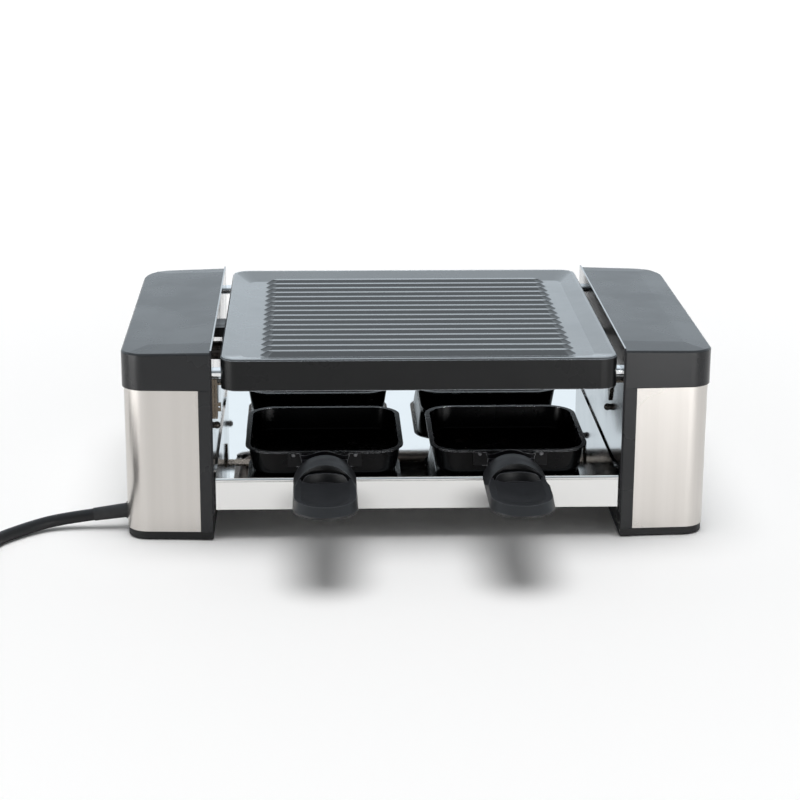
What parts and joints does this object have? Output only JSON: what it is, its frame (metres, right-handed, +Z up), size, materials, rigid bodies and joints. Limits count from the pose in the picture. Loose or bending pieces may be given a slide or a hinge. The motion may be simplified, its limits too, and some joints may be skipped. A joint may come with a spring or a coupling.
{
  "type": "raclette grill",
  "caption": "Table-top raclette grill: ribbed lift-off grill plate over a tubular element, polished tray with small handled pans, steel-clad end housings, mains cord and plug.",
  "frame": {"origin": "on the table, under the middle of the grill without its cord: bottom of the feet", "axes": "+X to the right seen from the front, +Y to the back, +Z up"},
  "size_m": [0.5344, 0.4037, 0.1128],
  "materials": {
    "black_moulding": "satin black heat-resistant plastic",
    "black_base": "matt black plastic",
    "brushed_panel": "vertical brushed stainless steel",
    "polished_sheet": "polished stainless steel",
    "foot_rubber": "matt rubber",
    "zinc_screw": "zinc plated",
    "dark_screw": "dark burnished",
    "tray_sheet": "polished stainless steel",
    "rivet": "bright",
    "cast_plate": "cast, dark satin non-stick coating",
    "bright_pin": "bright plated",
    "tinted_steel": "heat-tinted",
    "element_sheath": "dark oxidised steel tube",
    "element_pin": "plain",
    "ceramic": "glazed ceramic",
    "black_stop": "black",
    "clip_steel": "slightly heat-tinted",
    "cutout_body": "phenolic and steel cap",
    "terminal_body": "heat-resistant plastic",
    "grip_body": "matt",
    "live_wire": "brown silicone insulation",
    "neutral_wire": "blue silicone insulation",
    "earth_wire": "green and yellow insulation",
    "relief_rubber": "matt",
    "cord_sheath": "matt",
    "plug_rubber": "matt moulded",
    "plug_metal": "nickel plated",
    "pan_enamel": "black non-stick coating",
    "pan_bracket": "dark coated steel",
    "handle_plastic": "fine-grained matt"
  },
  "bodies": {
    "grill_base": {"left_housing": "black_moulding", "right_housing": "black_moulding", "left_base": "black_base", "right_base": "black_base", "left_side_panel": "brushed_panel", "right_side_panel": "brushed_panel", "left_side_plate": "polished_sheet", "right_side_plate": "polished_sheet", "rubber_feet": "foot_rubber", "base_screws": "zinc_screw", "side_plate_screws": "dark_screw", "tray": "tray_sheet", "tray_rivets": "rivet", "plate_pins": "bright_pin", "pin_bracket": "tinted_steel", "heating_element": "element_sheath", "element_pins": "element_pin", "element_bushes": "ceramic", "plate_stop": "black_stop", "element_clips": "clip_steel", "thermal_cutout": "cutout_body", "terminal_block": "terminal_body", "cord_grip": "grip_body", "inner_screws": "zinc_screw", "inner_lead": "cord_sheath", "live_wires": "live_wire", "neutral_wires": "neutral_wire", "earth_wires": "earth_wire", "strain_relief": "relief_rubber", "power_cord": "cord_sheath", "cord_coil": "cord_sheath", "plug_body": "plug_rubber", "plug_pins": "plug_metal"},
    "plate_body": {"grill_plate": "cast_plate"},
    "front_left_pan_body": {"front_left_pan": "pan_enamel", "front_left_pan_bracket": "pan_bracket", "front_left_pan_rivets": "rivet", "front_left_handle": "handle_plastic", "front_left_handle_screw": "zinc_screw"},
    "front_right_pan_body": {"front_right_pan": "pan_enamel", "front_right_pan_bracket": "pan_bracket", "front_right_pan_rivets": "rivet", "front_right_handle": "handle_plastic", "front_right_handle_screw": "zinc_screw"},
    "rear_left_pan_body": {"rear_left_pan": "pan_enamel", "rear_left_pan_bracket": "pan_bracket", "rear_left_pan_rivets": "rivet", "rear_left_handle": "handle_plastic", "rear_left_handle_screw": "zinc_screw"},
    "rear_right_pan_body": {"rear_right_pan": "pan_enamel", "rear_right_pan_bracket": "pan_bracket", "rear_right_pan_rivets": "rivet", "rear_right_handle": "handle_plastic", "rear_right_handle_screw": "zinc_screw"}
  },
  "joints": [
    {"name": "plate_lift", "type": "slide", "parent": "grill_base", "child": "plate_body", "axis": [0, 0, 1], "range_m": [0, 0.1]},
    {"name": "front_left_pan_slide", "type": "slide", "parent": "grill_base", "child": "front_left_pan_body", "axis": [0, -1, 0], "range_m": [0, 0.12]},
    {"name": "front_right_pan_slide", "type": "slide", "parent": "grill_base", "child": "front_right_pan_body", "axis": [0, -1, 0], "range_m": [0, 0.12]},
    {"name": "rear_left_pan_slide", "type": "slide", "parent": "grill_base", "child": "rear_left_pan_body", "axis": [0, 1, 0], "range_m": [0, 0.12]},
    {"name": "rear_right_pan_slide", "type": "slide", "parent": "grill_base", "child": "rear_right_pan_body", "axis": [0, 1, 0], "range_m": [0, 0.12]}
  ]
}
